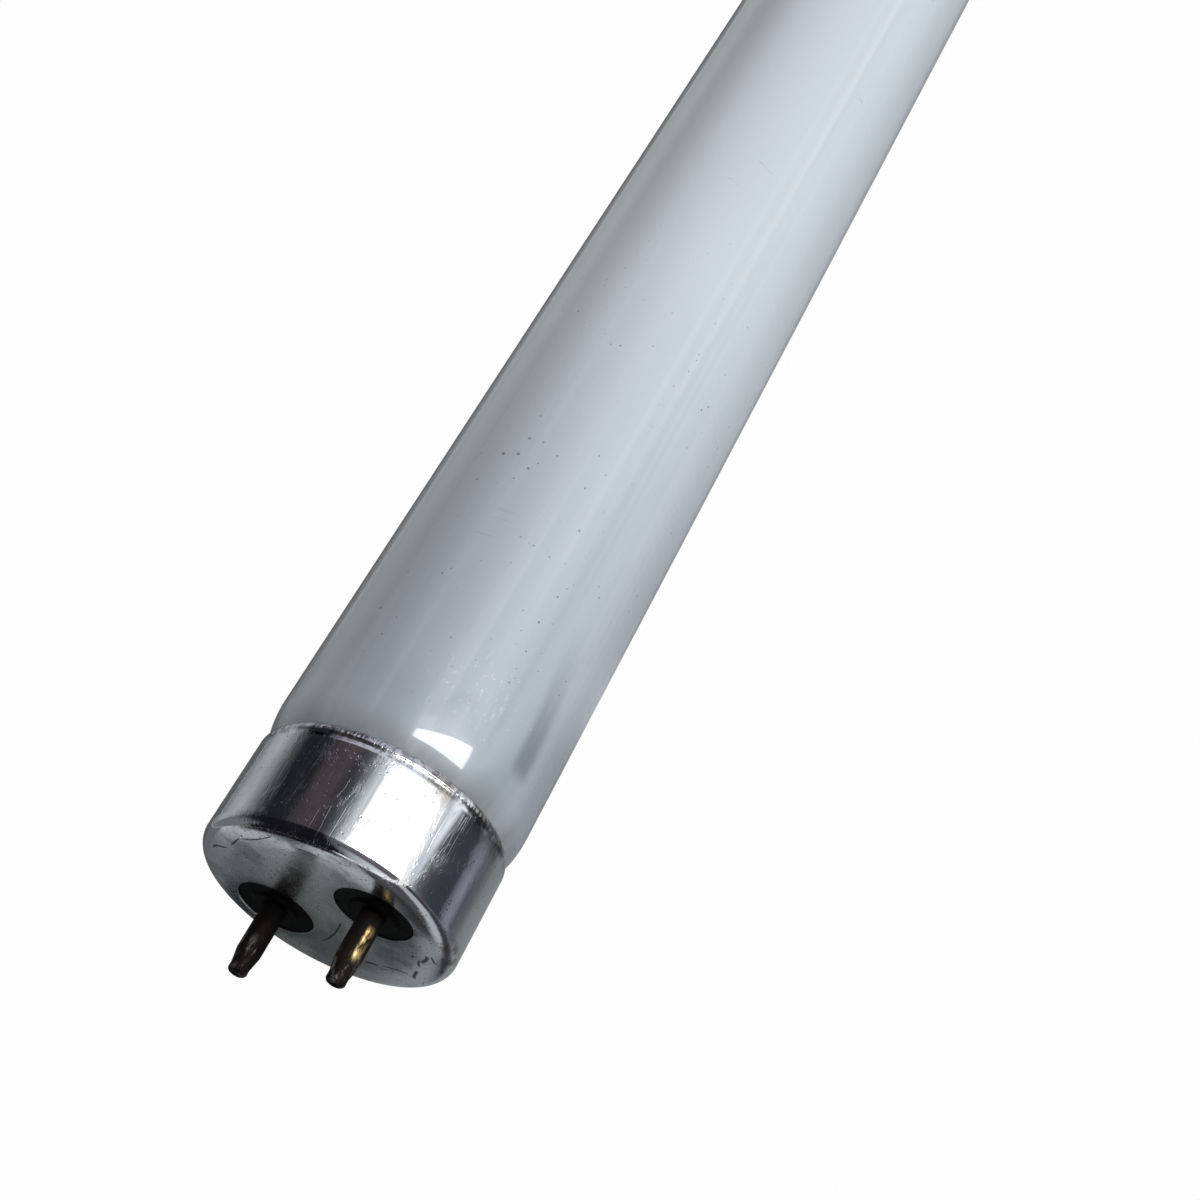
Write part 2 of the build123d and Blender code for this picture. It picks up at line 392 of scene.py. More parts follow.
class Shader:
    """The nodes of one material or of the world."""

    def __init__(self, owner):
        owner.use_nodes = True
        self.owner = owner
        self.tree = owner.node_tree
        self.tree.nodes.clear()

    def add(self, kind, settings=None, inputs=None):
        """A node of any kind: its settings come first, then the values or links of its sockets."""
        node = self.tree.nodes.new(kind)
        for name, setting in (settings or {}).items():
            if name == "stops":
                self.set_stops(node.color_ramp, setting)
            else:
                setattr(node, name, setting)
        for key, given in (inputs or {}).items():
            socket = node.inputs[key]
            if isinstance(given, Value):
                self.tree.links.new(given.socket, socket)
            elif socket.type == "RGBA":
                socket.default_value = (*given[:3], 1)
            else:
                socket.default_value = given
        return Added(self, node)

    @staticmethod
    def set_stops(ramp, stops):
        while len(ramp.elements) < len(stops):
            ramp.elements.new(1.0)
        for element, (place, level) in zip(ramp.elements, stops):
            element.position = place
            element.color = (*level, 1)

    def blend(self, share, first, second):
        """The first colour where the share is nothing, the second where it is 1."""
        return self.add("ShaderNodeMix", {"data_type": "RGBA"}, {0: share, 6: first, 7: second})[2]

    def mix(self, share, first, second):
        """The first shader where the share is nothing, the second where it is 1."""
        return self.add("ShaderNodeMixShader", {}, {0: share, 1: first, 2: second})[0]

    def scaled(self, tint, strength):
        """A colour made stronger or weaker."""
        inputs = {0: tint, "Scale": strength}
        return self.add("ShaderNodeVectorMath", {"operation": "SCALE"}, inputs)["Vector"]

    def light(self, tint):
        """A shader that only shines, in this colour."""
        return self.add("ShaderNodeEmission", {}, {"Color": tint, "Strength": 1.0})[0]

    def parts(self):
        """The x, y and z of a point on the object."""
        point = self.add("ShaderNodeTexCoord")["Object"]
        parts = self.add("ShaderNodeSeparateXYZ", {}, {"Vector": point})
        return parts["X"], parts["Y"], parts["Z"]

    def stretched(self, along, across, shift):
        """A point on the object, scaled along the lamp and across it, then shifted."""
        point = self.add("ShaderNodeTexCoord")["Object"]
        inputs = {0: point, 1: (along, across, across), 2: shift}
        return self.add("ShaderNodeVectorMath", {"operation": "MULTIPLY_ADD"}, inputs)["Vector"]

    def noise(self, along, across, detail=2.0, roughness=0.5, offset=0.0):
        """Noise with so many waves to the metre along the lamp and across it."""
        point = self.stretched(along, across, (offset, offset, offset))
        inputs = {"Vector": point, "Scale": 1.0, "Detail": detail, "Roughness": roughness}
        return self.add("ShaderNodeTexNoise", {"noise_dimensions": "3D"}, inputs)["Fac"]

    def scratches(self, along, across, width, offset, amount):
        """Thin broken lines: the middle of a stretched noise, kept where a second noise is high."""
        line = 1 - abs(self.noise(along, across, 1.0, 0.4, offset) - 0.5).fade(0.0, width)
        kept = self.noise(160, 160, 2.0, 0.5, offset + 7).fade(1 - amount, 1 - amount + 0.05)
        return line * kept

    def specks(self, per_metre, size, amount, offset):
        """Scattered round specks of uneven size and strength."""
        point = self.stretched(1, 1, (offset, 0, 0))
        cells = self.add("ShaderNodeTexVoronoi", {"feature": "F1"}, {"Vector": point, "Scale": per_metre})
        luck = self.add("ShaderNodeSeparateColor", {}, {"Color": cells["Color"]})
        chosen = luck["Red"].fade(1 - amount, 1 - amount + 0.02)
        reach = size * (0.5 + luck["Green"])
        return chosen * (1 - (cells["Distance"] / reach).fade(0.6, 1.0))

    def bent_scratch(self, y, z, begin, finish, bow, width):
        """One scratch on a cap face, from one point to another, in millimetres."""
        across = finish[0] - begin[0]
        rise = finish[1] - begin[1]
        reach = math.hypot(across, rise)
        along = ((y - begin[0]) * across + (z - begin[1]) * rise) / reach**2
        away = ((y - begin[0]) * rise - (z - begin[1]) * across) / reach
        wander = (self.noise(700, 700, 2.0, 0.6, reach) - 0.5) * 0.35
        line = 1 - abs(away - along * (1 - along) * 4 * bow + wander).fade(width * 0.3, width)
        return line * along.fade(0.0, 0.15) * (1 - along.fade(0.85, 1.0))

    def place(self):
        """Where a point is: its depth behind the nearer cap face, its y and its z, in millimetres."""
        x, y, z = self.parts()
        return (half_length() - abs(x)) / MM, y / MM, z / MM

    @staticmethod
    def around(place, centre, reach):
        """1 near a point of the lamp, fading to nothing at a distance from it, in millimetres."""
        squares = sum((here - there) ** 2 for here, there in zip(place, centre))
        return 1 - (squares**0.5).fade(reach * 0.4, reach)

    def relief(self, height, distance, strength=1.0):
        """A normal that follows a height given as a share of a distance."""
        inputs = {"Height": height, "Distance": distance, "Strength": strength}
        return self.add("ShaderNodeBump", {}, inputs)["Normal"]

    def strips(self, place, levels):
        """Colours that follow each other along a place, given as pairs of a place and its level."""
        first = levels[0][0]
        span = levels[-1][0] - first
        stops = [((at - first) / span, level) for at, level in levels]
        return self.add("ShaderNodeValToRGB", {"stops": stops}, {"Fac": (place - first) / span})["Color"]

    def surface(self, inputs):
        """A Principled shader with these sockets."""
        return self.add("ShaderNodeBsdfPrincipled", {}, inputs)["BSDF"]

    def finish(self, shade):
        """Leads a shader to the output and returns the material or world."""
        of_world = isinstance(self.owner, bpy.types.World)
        kind = "ShaderNodeOutputWorld" if of_world else "ShaderNodeOutputMaterial"
        self.add(kind, {}, {"Surface": shade})
        return self.owner


def new_shader(name):
    return Shader(bpy.data.materials.new(name))


# Finishes


def coated_glass():
    """Clear glass over white powder, thinner and greener at the ends, with specks and smoky patches."""
    colours = bpy.context.scene.lamp_colours
    shader = new_shader("coated_glass")
    place = shader.place()
    depth = place[0]
    powder = shader.blend(depth.fade(14.0, 85.0), colours.glass_end, colours.glass)
    powder = shader.blend(depth.fade(10.5, 14.5), colours.glass_rim, powder)
    streaks = shader.noise(4, 300, 3.0, 0.55).fade(0.42, 0.70)
    threads = shader.noise(3, 900, 2.0, 0.5, 22).fade(0.54, 0.68) * depth.fade(18.0, 60.0)
    powder = shader.blend(streaks * 0.25 + threads * 0.15, powder, colours.glass_streak)
    clouds = shader.noise(25, 90, 3.0, 0.55, 3).fade(0.35, 0.8)
    powder = shader.blend(clouds * 0.12, powder, colours.glass_end)
    powder = shader.blend(smoke_patch(shader, place) * 0.45, powder, colours.soot)
    clustered = shader.noise(25, 60, 1.0, 0.5, 5).fade(0.42, 0.55)
    near_end = depth.fade(12.0, 30.0) * (1 - depth.fade(55.0, 95.0))
    dots = shader.specks(1000, 0.11, 0.6, 0.3) * clustered * near_end
    powder = shader.blend(dots * 0.8, powder, colours.soot)
    cluster = shader.specks(800, 0.13, 0.75, 1.3) * shader.around(place, (44.0, -8.5, 10.0), 11.0)
    powder = shader.blend(cluster * 0.75, powder, colours.soot)
    grazes = shader.scratches(1500, 60, 0.03, 5.0, 0.5) * shader.around(place, (38.0, -6.0, 11.5), 3.5)
    powder = shader.blend(grazes * 0.35, powder, colours.soot)
    scuffs = shader.noise(1100, 2200, 3.0, 0.7, 33).fade(0.55, 0.72)
    scuffs = scuffs * shader.around(place, (19.5, -11.0, 6.5), 6.0)
    powder = shader.blend(scuffs * 0.3, powder, colours.dust)
    dust = shader.specks(1700, 0.13, 0.5, 0.7) * shader.noise(120, 120, 2.0, 0.5, 15).fade(0.50, 0.62)
    powder = shader.blend(dust * (1 - depth.fade(20.0, 28.0)) * 0.5, powder, colours.dust)
    lines = shader.scratches(500, 90, 0.006, 2.0, 0.40)
    powder = shader.blend(lines * 0.5, powder, colours.glass_end)
    smudge = shader.noise(60, 60, 4.0, 0.7, 9).fade(0.5, 0.75)
    body = shader.surface(
        {
            "Base Color": powder,
            "Roughness": 0.42,
            "Coat Weight": 1.0,
            "Coat Roughness": 0.02,
            "Coat IOR": 1.65,
            "Normal": shader.relief(smudge, 0.000004, 0.5),
        }
    )
    edge = shader.surface({"Base Color": colours.glass_edge, "Roughness": 0.12, "Coat Weight": 1.0})
    grazing = shader.add("ShaderNodeLayerWeight", {}, {"Blend": 0.5})["Facing"]
    rim = grazing.fade(0.80, 0.99) * 0.7
    return shader.finish(shader.mix(rim, body, edge))


def smoke_patch(shader, place):
    """The smoky streak that a cathode leaves on the glass behind the rim of the cap."""
    depth, y, z = place
    beside = 1 - abs(shader.noise(30, 30, 1.0, 0.4, 2) + z / 9 - 0.35).fade(0.05, 0.22)
    return beside * (-1 * y).fade(8.0, 11.0) * depth.fade(15.5, 17.5) * (1 - depth.fade(19.0, 34.0))


# Marks on the faces of the caps: from (y, z), to (y, z), how far they bend and how wide they are, in mm
SCRIBBLES = (
    ((-1.4, -1.3), (4.6, -5.1), 0.3, 0.13),
    ((6.9, 9.0), (4.7, 9.0), 0.25, 0.16),
    ((3.9, 9.4), (1.7, 10.5), 0.1, 0.13),
    ((1.8, 10.4), (-2.9, 11.0), -0.2, 0.11),
    ((0.9, -7.8), (-0.6, -8.3), 0.15, 0.22),
    ((-0.8, -8.2), (-3.6, -9.3), 0.2, 0.13),
    ((-6.7, -7.1), (-8.5, -5.8), -0.2, 0.24),
    ((-6.0, -7.9), (-6.9, -6.7), 0.1, 0.20),
    ((-3.7, -10.0), (-5.4, -8.5), 0.15, 0.26),
    ((-7.9, -8.9), (-8.6, -8.2), 0.0, 0.24),
    ((-8.5, -7.4), (-8.9, -5.9), 0.1, 0.14),
    ((-6.2, -6.3), (-6.7, -5.9), 0.0, 0.20),
)


def cap_aluminium():
    """Polished drawn sheet with stains and fine scratches, a notched rim, and a matt, scribbled face."""
    colours = bpy.context.scene.lamp_colours
    shader = new_shader("cap_aluminium")
    place = shader.place()
    depth, y, z = place
    face = 1 - depth.fade(0.02, 0.30)
    # A ring round the flat of the face: its lighter colour is a painted reflection of the slope round the
    # face, and its lower roughness makes it smoother
    sheen_ring = ((y**2 + z**2) ** 0.5).fade(8.8, 10.2) * face
    rim = depth.fade(10.5, 10.8)
    bloom = shader.noise(300, 300, 4.0, 0.65, 1).fade(0.42, 0.72)
    fine = shader.noise(900, 900, 3.0, 0.7, 4)
    hairlines = shader.scratches(90, 1500, 0.02, 3.0, 0.5)
    hairlines = hairlines.largest(shader.scratches(200, 1000, 0.01, 8.0, 0.4))
    pits = shader.specks(2300, 0.20, 0.40, 0.1)
    frost = shader.noise(200, 420, 5.0, 0.75, 27).fade(0.50, 0.66) * (1 - face)
    crust = shader.noise(420, 1500, 3.0, 0.65, 19).fade(0.44, 0.60)
    groove = depth.fade(9.95, 10.2) * (1 - depth.fade(10.55, 10.75))
    # The face is matt and darker, except on the ring, where a painted reflection lightens it
    metal = shader.blend(face * (1 - sheen_ring * 0.8), colours.aluminium, colours.aluminium_face)
    metal = shader.blend(cap_stain(shader, place, bloom) * 0.75, metal, colours.stain)
    metal = shader.blend(bloom * 0.18, metal, colours.aluminium_face)
    mottled = (fine * 0.6 + bloom * 0.4).fade(0.45, 0.75)
    grime = shader.noise(230, 230, 2.0, 0.5, 31).fade(0.46, 0.62)
    # A dark halo round each hole: painted shade round the pins, partly dirt
    hole = ((abs(y) - half_spacing() / MM) ** 2 + z**2) ** 0.5
    shade_and_dirt_halo = (1 - hole.fade(3.8, 5.6)) * (0.4 + bloom * 0.6)
    # Marks that darken the metal towards the tarnish colour; the halo among them is painted shade
    dark_marks_and_shade = [
        (groove * 0.5 + rim * 0.5) * crust,
        pits * (0.45 + face * 0.3),
        grime * face * 0.35,
        mottled * face * 0.35,
        shade_and_dirt_halo * face * 0.55,
        face_scribbles(shader, y, z) * face * 0.95,
    ]
    for mark in dark_marks_and_shade:
        metal = shader.blend(mark, metal, colours.tarnish)
    roughness = 0.05 + bloom * 0.08 + fine * 0.05 + hairlines * 0.08 + frost * 0.12 + rim * 0.12
    roughness = roughness + face * 0.16 - sheen_ring * 0.07
    drawn = shader.noise(60, 2600, 2.0, 0.6, 6) + shader.noise(25, 700, 2.0, 0.6, 16) * 1.5
    notches = shader.noise(700, 3600, 1.0, 0.5, 9) * rim * ((-1 * y).fade(-4.0, 4.0) * 0.8 + 0.2)
    height = drawn * 0.2 + hairlines * -0.35 + pits * -0.8 + notches * 9.0
    height = height + frost * fine * 1.6 + fine * face * 0.8
    return shader.finish(
        shader.surface(
            {
                "Base Color": metal,
                "Metallic": 1.0,
                "Roughness": roughness,
                "Normal": shader.relief(height, 0.000015, 0.6),
            }
        )
    )


def cap_stain(shader, place, bloom):
    """Brown stains on one side of a cap, near its rim and along its lip."""
    depth, y, z = place
    by_rim = shader.noise(140, 260, 3.0, 0.6, 12).fade(0.40, 0.58) * depth.fade(8.2, 10.4)
    by_rim = by_rim * (-1 * y).fade(10.4, 12.0)
    lip = depth.fade(0.0, 0.1) * (1 - depth.fade(0.9, 1.8))
    by_lip = lip * (-1 * y).fade(8.5, 10.0) * (1 - z.fade(-3.0, -1.0)) * bloom.fade(0.1, 0.6)
    return by_rim.largest(by_lip)


def face_scribbles(shader, y, z):
    """Dark scratches on the face of a cap."""
    scribbles = shader.scratches(240, 240, 0.014, 21.0, 0.34)
    for begin, finish, bow, width in SCRIBBLES:
        scribbles = scribbles.largest(shader.bent_scratch(y, z, begin, finish, bow, width))
    return scribbles


def insulator_resin():
    """Near-black moulded resin with a fine grain and brown dust."""
    colours = bpy.context.scene.lamp_colours
    shader = new_shader("insulator_resin")
    grain = shader.noise(2400, 2400, 3.0, 0.6, 2)
    dust = shader.noise(700, 700, 4.0, 0.7, 5).fade(0.5, 0.75)
    body = shader.blend(dust * 0.02, colours.resin, colours.stain)
    return shader.finish(
        shader.surface(
            {
                "Base Color": body,
                "Roughness": 0.5 + dust * 0.3,
                "Specular IOR Level": 0.05,
                "Normal": shader.relief(grain, 0.00003, 0.5),
            }
        )
    )


def pin_metal(name, seed, rubbed_share, worn_share):
    """Brass gone almost black, rubbed bright along one side and worn pale towards the crimped tip."""
    colours = bpy.context.scene.lamp_colours
    shader = new_shader(name)
    depth, y, z = shader.place()
    lumps = shader.noise(350, 1200, 4.0, 0.7, seed)
    grain = shader.noise(1800, 3500, 3.0, 0.7, 3)
    facing_down = (abs(y) - half_spacing() / MM) * 0.61 - z * 0.79
    strip = facing_down.fade(-0.05, 0.25) * (1 - facing_down.fade(0.55, 0.95))
    patchy = (lumps * 0.7 + grain * 0.45).fade(0.46, 0.64)
    rubbed = patchy * strip * depth.fade(-5.2, -4.2) * (1 - depth.fade(-2.0, -1.2)) * rubbed_share
    worn = (1 - depth.fade(-5.2, -3.0)) * (lumps * 0.8 + grain * 0.25).fade(0.54, 0.70) * worn_share
    metal = shader.blend(lumps.fade(0.45, 0.75) * 0.03, colours.tarnish, colours.stain)
    metal = shader.blend(rubbed, metal, colours.brass)
    metal = shader.blend(worn, metal, colours.solder)
    bright = rubbed.largest(worn)
    return shader.finish(
        shader.surface(
            {
                "Base Color": metal,
                "Metallic": bright * 0.95,
                "Roughness": 0.6 - bright * 0.2,
                "Specular IOR Level": 0.08,
                "Normal": shader.relief(lumps + grain * 0.5, 0.00005, 0.8),
            }
        )
    )


def drawn_wire():
    """Bare lead wire, with a little oxide."""
    colours = bpy.context.scene.lamp_colours
    shader = new_shader("lead_wire_metal")
    oxide = shader.noise(500, 1800, 3.0, 0.6, 1).fade(0.4, 0.8)
    metal = shader.blend(oxide * 0.6, colours.wire, colours.stain)
    return shader.finish(
        shader.surface({"Base Color": metal, "Metallic": 1.0, "Roughness": 0.28 + oxide * 0.3})
    )


def baked_cement():
    """Hard, grainy cement."""
    colours = bpy.context.scene.lamp_colours
    shader = new_shader("capping_cement")
    grain = shader.noise(1800, 1800, 5.0, 0.7, 1)
    body = shader.blend(grain * 0.5, colours.cement, colours.stain)
    return shader.finish(
        shader.surface(
            {"Base Color": body, "Roughness": 0.9, "Normal": shader.relief(grain, 0.0001, 0.7)}
        )
    )


# Pieces of the lamp


class FLUORESCENT_OT_glass(Operator):
    """Blow the glass: barrel, shoulders, necks and the stem that closes each end"""

    bl_idname = "fluorescent_tube.glass"
    bl_label = "Glass tube"

    def execute(self, context):
        sizes = context.scene.glass_sizes
        sides = 160
        barrel_steps = 24
        near = self.end_outline(sizes)
        start = near[-1][0]
        end = sizes.length_over_caps - start
        barrel = [
            (start + (end - start) * step / barrel_steps, sizes.radius) for step in range(1, barrel_steps)
        ]
        far = [(sizes.length_over_caps - x, radius) for x, radius in reversed(near)]
        mesh = bmesh.new()
        revolve(mesh, near + barrel + far, sides)
        bmesh.ops.translate(mesh, verts=mesh.verts, vec=(-half_length(), 0, 0))
        piece_from(mesh, "glass_bulb", coated_glass(), "glass_tube")
        return {"FINISHED"}

    @staticmethod
    def end_outline(sizes):
        """Half section of one end, from the sealed exhaust tip out to the shoulder."""
        bead = sizes.edge_bead
        bend = sizes.flare_bend
        drop = sizes.radius - sizes.neck_radius
        shoulder_bend = (sizes.shoulder_length**2 + drop**2) / (4 * drop)
        shoulder_turn = math.degrees(math.asin(sizes.shoulder_length / 2 / shoulder_bend))
        flare_turn = math.acos((bend + bead + sizes.stem_radius - sizes.neck_radius) / (bend - bead))
        bead_back = sizes.edge_depth + bead * (1 - math.sin(flare_turn))
        pen = Outline(sizes.exhaust_tip, 0, 90)
        pen.bend(sizes.exhaust_seal, -60, 6)
        pen.line_to(sizes.exhaust_tip + sizes.exhaust_cone, sizes.exhaust_radius)
        pen.line_to(sizes.stem_depth, sizes.exhaust_radius)
        pen.line_to(sizes.stem_depth, sizes.stem_radius)
        pen.line_to(bead_back + bend * math.sin(flare_turn), sizes.stem_radius)
        pen.bend(bend, -math.degrees(flare_turn), 10)
        pen.bend(bead, math.degrees(flare_turn) - 180, 8)
        pen.line_to(sizes.shoulder_start, sizes.neck_radius)
        pen.bend(shoulder_bend, shoulder_turn, 10)
        pen.bend(shoulder_bend, -shoulder_turn, 10)
        return pen.points


class FLUORESCENT_OT_caps(Operator):
    """Draw the two metal caps, with a flat face, a round corner and a rim curled inwards"""

    bl_idname = "fluorescent_tube.caps"
    bl_label = "Cap shells"

    def execute(self, context):
        finish = cap_aluminium()
        for end in ENDS:
            mesh = bmesh.new()
            self.draw_shell(mesh, context.scene.cap_sizes)
            place_end(mesh, end)
            piece_from(mesh, f"cap_{end}", finish, f"cap_shell_{end}")
        return {"FINISHED"}

    @staticmethod
    def draw_shell(mesh, sizes):
        """Turns the outside and the inside, then fills the two flats round the holes."""
        sides = 192
        hole_sides = 72
        border = 0.15 * MM
        bevel_turn = math.atan2(sizes.bevel_drop, sizes.bevel_width)
        corner = sizes.corner / (1 - math.sin(bevel_turn))
        flat = sizes.radius - sizes.corner - sizes.bevel_width
        curl_start = sizes.height - sizes.curl_radius * math.sin(sizes.curl_angle)
        curl = math.degrees(sizes.curl_angle)
        pen = Outline(0, flat - border, 90)
        pen.line_to(0, flat)
        pen.line_to(sizes.bevel_drop, flat + sizes.bevel_width)
        pen.bend(corner, math.degrees(bevel_turn) - 90, 14)
        pen.line_to(curl_start - 1.5 * sizes.groove_width, sizes.radius)
        pen.line_to(curl_start - sizes.groove_width, sizes.radius)
        pen.line_to(curl_start - sizes.groove_width / 2, sizes.radius - sizes.groove_depth)
        pen.line_to(curl_start, sizes.radius)
        pen.heading = 0
        pen.bend(sizes.curl_radius, -curl, 10)
        inner = Outline(sizes.wall, flat - border, 90)
        inner.line_to(sizes.wall, sizes.radius - sizes.corner)
        inner.bend(sizes.corner - sizes.wall, -90, 8)
        inner.line_to(curl_start, sizes.radius - sizes.wall)
        inner.bend(sizes.curl_radius - sizes.wall, -curl, 8)
        outside, inside = revolve(mesh, pen.points + inner.points[::-1], sides)
        outer_loops = loop_edges(mesh, outside)
        inner_loops = loop_edges(mesh, inside)
        for side in SIDES.values():
            edge = sizes.hole_edge
            rim = Outline(0, sizes.hole_radius + edge + border, -90)
            rim.line_to(0, sizes.hole_radius + edge)
            rim.bend(edge, 90, 5)
            rim.line_to(sizes.wall, sizes.hole_radius)
            outside, inside = revolve(mesh, rim.points, hole_sides, centre_y=side * half_spacing())
            outer_loops += loop_edges(mesh, outside)
            inner_loops += loop_edges(mesh, inside)
        bmesh.ops.triangle_fill(mesh, use_beauty=True, edges=outer_loops, normal=(-1, 0, 0))
        bmesh.ops.triangle_fill(mesh, use_beauty=True, edges=inner_loops, normal=(1, 0, 0))


class FLUORESCENT_OT_pins(Operator):
    """Draw the four hollow contact pins with their crimped tips"""

    bl_idname = "fluorescent_tube.pins"
    bl_label = "Contact pins"

    def execute(self, context):
        sizes = context.scene.pin_sizes
        sides = 64
        finishes = {
            "1": pin_metal("pin_brass_dark", 2.0, 0.03, 0.45),
            "2": pin_metal("pin_brass_rubbed", 6.0, 1.0, 0.3),
        }
        outline = self.outline(sizes)
        crimp = self.crimp(sizes)
        for end in ENDS:
            for side, sign in SIDES.items():
                mesh = bmesh.new()
                revolve(mesh, outline, sides, closed=True, centre_y=sign * half_spacing(), shape=crimp)
                place_end(mesh, end)
                piece_from(mesh, f"contact_{end}{side}", finishes[side], f"pin_{end}{side}")
        return {"FINISHED"}

    @staticmethod
    def outline(sizes):
        """The closed half section of a pin, from the rivet head behind the plate round to its bore."""
        shank_steps = 12
        taper_steps = 5
        waist_steps = 5
        tip = -sizes.projection
        tip_start = tip + sizes.tip_length
        taper_start = tip_start + sizes.taper
        rivet_back = sizes.plate_back + sizes.rivet_height
        seat = -sizes.shoulder_seat
        pen = Outline(rivet_back, sizes.bore, 90)
        pen.line_to(rivet_back, sizes.rivet_radius)
        pen.line_to(sizes.plate_back, sizes.rivet_radius)
        pen.line_to(sizes.plate_back, sizes.spigot)
        pen.line_to(seat, sizes.spigot)
        pen.line_to(seat, sizes.radius)
        for step in range(1, shank_steps + 1):
            pen.line_to(seat + (taper_start - seat) * step / shank_steps, sizes.radius)
        for step in range(1, taper_steps + 1):
            share = step / taper_steps
            radius = sizes.radius + (sizes.tip_radius - sizes.radius) * share
            pen.line_to(taper_start - sizes.taper * share, radius)
        waist_end = tip + sizes.rounding
        for step in range(1, waist_steps + 1):
            share = step / waist_steps
            radius = sizes.tip_radius - sizes.waist * math.sin(math.pi * share)
            pen.line_to(tip_start + (waist_end - tip_start) * share, radius)
        pen.heading = math.pi
        pen.bend(sizes.rounding, 90, 6)
        pen.line_to(tip, sizes.wire_bore)
        pen.line_to(tip_start, sizes.wire_bore)
        pen.line_to(taper_start, sizes.bore)
        return pen.points

    @staticmethod
    def crimp(sizes):
        """How far the four jaws of the crimping tool press the tip in, round the pin."""
        reach = sizes.tip_length + sizes.taper
        deepest = 0.35
        spread = 0.6
        narrowness = 8

        def share(x, turn):
            held = max(0.0, 1 - abs((x + sizes.projection) / reach - deepest) / spread)
            return 1 - sizes.crimp * held * math.cos(2 * turn) ** narrowness

        return share


class FLUORESCENT_OT_inner_parts(Operator):
    """Finish the parts kept from the CAD model: insulating plates, lead wires and cement"""

    bl_idname = "fluorescent_tube.inner_parts"
    bl_label = "Plates, wires and cement"

    def execute(self, context):
        finishes = {
            "insulator": insulator_resin(),
            "lead_wire": drawn_wire(),
            "cement": baked_cement(),
        }
        for name, node in frame["nodes"].items():
            for start, finish in finishes.items():
                if name.startswith(start):
                    for slot in node.material_slots:
                        slot.material = finish
        return {"FINISHED"}


# Stage


# Strips of the room that the metal shows, by degrees round the lamp from +Y over the top
ROOM_BESIDE_CAP = (
    (0, (0.16, 0.17, 0.18)),
    (14, (0.37, 0.39, 0.40)),
    (26, (0.41, 0.42, 0.44)),
    (36, (0.26, 0.26, 0.27)),
    (44, (0.09, 0.10, 0.10)),
    (54, (0.014, 0.018, 0.024)),
    (76, (0.014, 0.016, 0.018)),
    (84, (0.06, 0.048, 0.052)),
    (98, (0.068, 0.05, 0.056)),
    (106, (0.036, 0.036, 0.038)),
    (112, (0.06, 0.064, 0.07)),
    (119, (0.21, 0.23, 0.24)),
    (127, (0.72, 0.78, 0.82)),
    (180, (0.72, 0.78, 0.82)),
)
ROOM_BESIDE_GLASS = (
    (0, (0.40, 0.42, 0.42)),
    (12, (0.36, 0.39, 0.38)),
    (28, (0.42, 0.44, 0.44)),
    (36, (0.20, 0.21, 0.22)),
    (44, (0.0, 0.0, 0.0)),
    (62, (0.0, 0.0, 0.0)),
    (74, (0.14, 0.14, 0.17)),
    (86, (0.44, 0.43, 0.50)),
    (126, (0.60, 0.60, 0.68)),
    (180, (0.55, 0.57, 0.62)),
)
ROOM_BEFORE_FACE = (
    (0, (0.17, 0.18, 0.19)),
    (30, (0.17, 0.18, 0.19)),
    (46, (0.008, 0.009, 0.012)),
    (112, (0.008, 0.008, 0.010)),
    (124, (0.12, 0.125, 0.14)),
    (140, (0.42, 0.46, 0.48)),
    (162, (0.60, 0.64, 0.68)),
    (176, (0.95, 0.97, 1.0)),
)
# Strips of the ground under the lamp, by the distance from its axis to either side
GROUND_BESIDE = (
    (0.0000, (0.30, 0.32, 0.33)),
    (0.0110, (0.22, 0.24, 0.245)),
    (0.0135, (0.12, 0.13, 0.14)),
    (0.0158, (0.09, 0.10, 0.12)),
    (0.0180, (0.24, 0.25, 0.29)),
    (0.0200, (0.20, 0.21, 0.25)),
    (0.0230, (0.04, 0.05, 0.06)),
    (0.030, (0.042, 0.05, 0.055)),
    (0.042, (0.06, 0.065, 0.075)),
    (0.060, (0.13, 0.14, 0.15)),
    (0.105, (0.60, 0.66, 0.72)),
)
# Strips of the ground before a cap, by y: what the flat of the face shows, and what its edge shows
GROUND_FOR_FLAT = (
    (-0.004, (0.27, 0.29, 0.31)),
    (0.000, (0.25, 0.27, 0.29)),
    (0.005, (0.14, 0.15, 0.16)),
    (0.012, (0.12, 0.13, 0.135)),
    (0.017, (0.10, 0.11, 0.11)),
    (0.026, (0.06, 0.07, 0.07)),
    (0.031, (0.01, 0.014, 0.016)),
    (0.038, (0.14, 0.15, 0.16)),
)
GROUND_FOR_EDGE = (
    (0.002, (0.05, 0.05, 0.055)),
    (0.007, (0.12, 0.125, 0.13)),
    (0.010, (0.40, 0.42, 0.44)),
    (0.026, (0.52, 0.54, 0.56)),
    (0.038, (0.50, 0.52, 0.55)),
)
# Strips of the ground before a cap on the camera's side, by how far ahead of the face they lie
GROUND_AHEAD = (
    (0.00, (0.20, 0.21, 0.23)),
    (0.12, (0.05, 0.05, 0.06)),
    (0.28, (0.05, 0.05, 0.06)),
    (0.40, (0.45, 0.48, 0.52)),
    (0.70, (0.45, 0.48, 0.52)),
    (0.88, (0.08, 0.08, 0.085)),
    (1.40, (0.08, 0.08, 0.085)),
)
NEAR_BLACK = (0.008, 0.008, 0.010)


